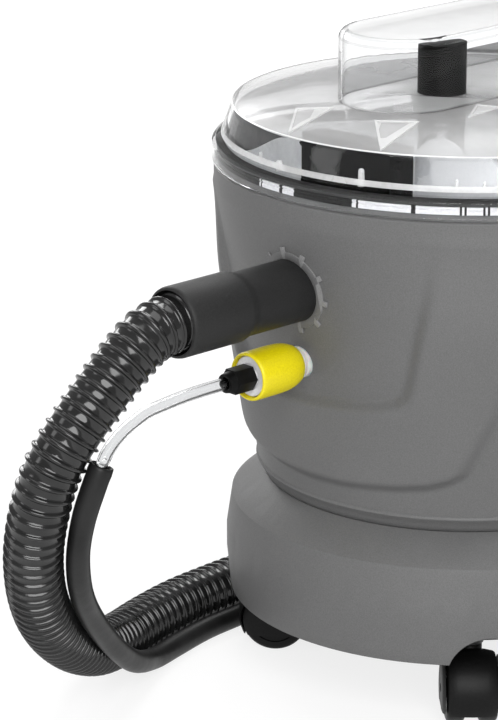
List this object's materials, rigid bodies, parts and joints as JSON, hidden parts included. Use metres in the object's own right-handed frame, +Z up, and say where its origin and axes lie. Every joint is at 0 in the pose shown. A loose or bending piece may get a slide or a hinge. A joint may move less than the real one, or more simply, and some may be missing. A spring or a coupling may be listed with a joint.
{
  "type": "spot extractor",
  "caption": "Spray and suction cleaning machine on castors: grey tapered tub, clear lid and dome, rear motor housing, folding handle, ribbed suction hose with clear spray tube.",
  "frame": {"origin": "on the floor, below the middle of the machine's length and width, without its hose", "axes": "+Z up, -Y towards the front, where the suction hose goes in, +X to the right seen from the front"},
  "size_m": [0.4248, 1.1706, 0.4343],
  "materials": {
    "grey_shell": "fine grain",
    "black_plastic": "satin",
    "black_rubber": "matte",
    "black_hose": "glossy ribs",
    "tyre_rubber": "matte",
    "clear_plastic": "clear, polished",
    "clear_tube": "clear, flexible",
    "milky_plastic": "translucent",
    "white_sheet": "satin",
    "white_plastic": "satin",
    "yellow_plastic": "satin",
    "steel": "brushed",
    "aluminium": "cast"
  },
  "bodies": {
    "machine": {"base_shell": "grey_shell", "base_plate": "black_plastic", "tub_housing": "grey_shell", "rear_housing": "grey_shell", "rear_cover": "grey_shell", "cord_gland": "black_rubber", "exhaust_grille": "black_plastic", "motor_casing": "steel", "fan_housing": "black_plastic", "suction_duct": "black_plastic", "duct_seal": "black_rubber", "spray_pump": "aluminium", "pump_inlet_hose": "black_rubber", "pump_outlet_hose": "black_rubber", "tank_filter": "white_plastic", "lid_seal": "black_rubber", "inlet_socket": "grey_shell", "inlet_seal": "black_rubber", "hose_cuff": "black_plastic", "suction_hose": "black_hose", "hose_coil": "black_hose", "hose_sleeve": "black_rubber", "end_cuff": "black_plastic", "end_coupling": "black_plastic", "coupling_socket": "white_plastic", "coupling_plug": "white_plastic", "tube_nut": "black_plastic", "spray_tube": "clear_tube", "handle_pins": "steel", "rear_axle": "steel", "castor_sockets": "black_plastic", "body_screws": "steel"},
    "tank": {"recovery_tank": "milky_plastic", "inlet_duct": "black_plastic", "splash_guard": "white_sheet"},
    "lid": {"lid": "clear_plastic", "dome": "clear_plastic", "float_cage": "black_plastic"},
    "float": {"float_ball": "white_plastic"},
    "turbine": {"turbine_shaft": "steel", "turbine_fan": "aluminium"},
    "plunger": {"pump_plunger": "steel"},
    "suction_switch": {"suction_switch": "black_plastic"},
    "spray_switch": {"spray_switch": "black_plastic"},
    "collar": {"coupling_collar": "yellow_plastic"},
    "handle": {"carry_handle": "black_plastic", "handle_grip": "black_rubber"},
    "rear_wheel_left": {"rear_wheel_left": "black_plastic", "rear_tyre_left": "tyre_rubber"},
    "rear_wheel_right": {"rear_wheel_right": "black_plastic", "rear_tyre_right": "tyre_rubber"},
    "castor_left": {"castor_fork_left": "black_plastic", "castor_axles_left": "steel"},
    "castor_right": {"castor_fork_right": "black_plastic", "castor_axles_right": "steel"},
    "castor_wheel_left_a": {"castor_wheel_left_a": "black_plastic"},
    "castor_wheel_left_b": {"castor_wheel_left_b": "black_plastic"},
    "castor_wheel_right_a": {"castor_wheel_right_a": "black_plastic"},
    "castor_wheel_right_b": {"castor_wheel_right_b": "black_plastic"}
  },
  "joints": [
    {"name": "tank_lift", "type": "slide", "parent": "machine", "child": "tank", "axis": [0, 0, 1], "range_m": [0, 0.25]},
    {"name": "lid_lift", "type": "slide", "parent": "tank", "child": "lid", "axis": [0, 0, 1], "range_m": [0, 0.2]},
    {"name": "float_rise", "type": "slide", "parent": "lid", "child": "float", "axis": [0, 0, 1], "range_m": [0, 0.024]},
    {"name": "turbine_spin", "type": "hinge", "parent": "machine", "child": "turbine", "pos_m": [0, 0.133, 0.2], "axis": [0, 0, 1], "continuous": true},
    {"name": "plunger_stroke", "type": "slide", "parent": "machine", "child": "plunger", "axis": [0, -1, 0], "range_m": [0, 0.003], "stiffness_N_per_m": 800},
    {"name": "suction_switch_press", "type": "slide", "parent": "machine", "child": "suction_switch", "axis": [0, 0, -1], "range_m": [0, 0.003], "stiffness_N_per_m": 400},
    {"name": "spray_switch_press", "type": "slide", "parent": "machine", "child": "spray_switch", "axis": [0, 0, -1], "range_m": [0, 0.003], "stiffness_N_per_m": 400},
    {"name": "collar_pull", "type": "slide", "parent": "machine", "child": "collar", "axis": [0, -1, 0], "range_m": [0, 0.005], "stiffness_N_per_m": 800},
    {"name": "handle_fold", "type": "hinge", "parent": "machine", "child": "handle", "pos_m": [0, 0.125, 0.326], "axis": [1, 0, 0], "range_deg": [0, 90]},
    {"name": "rear_wheel_left_spin", "type": "hinge", "parent": "machine", "child": "rear_wheel_left", "pos_m": [-0.131, 0.135, 0.08], "axis": [1, 0, 0], "continuous": true},
    {"name": "rear_wheel_right_spin", "type": "hinge", "parent": "machine", "child": "rear_wheel_right", "pos_m": [0.131, 0.135, 0.08], "axis": [1, 0, 0], "continuous": true},
    {"name": "castor_left_swivel", "type": "hinge", "parent": "machine", "child": "castor_left", "pos_m": [-0.07889, -0.17229, 0.06], "axis": [0, 0, 1], "continuous": true},
    {"name": "castor_wheel_left_a_spin", "type": "hinge", "parent": "castor_left", "child": "castor_wheel_left_a", "pos_m": [-0.08921, -0.18175, 0.022], "axis": [0.6756, -0.7373, 0], "continuous": true},
    {"name": "castor_wheel_left_b_spin", "type": "hinge", "parent": "castor_left", "child": "castor_wheel_left_b", "pos_m": [-0.08921, -0.18175, 0.022], "axis": [0.6756, -0.7373, 0], "continuous": true},
    {"name": "castor_right_swivel", "type": "hinge", "parent": "machine", "child": "castor_right", "pos_m": [0.07889, -0.17229, 0.06], "axis": [0, 0, 1], "continuous": true},
    {"name": "castor_wheel_right_a_spin", "type": "hinge", "parent": "castor_right", "child": "castor_wheel_right_a", "pos_m": [0.08921, -0.18175, 0.022], "axis": [0.6756, 0.7373, 0], "continuous": true},
    {"name": "castor_wheel_right_b_spin", "type": "hinge", "parent": "castor_right", "child": "castor_wheel_right_b", "pos_m": [0.08921, -0.18175, 0.022], "axis": [0.6756, 0.7373, 0], "continuous": true}
  ]
}
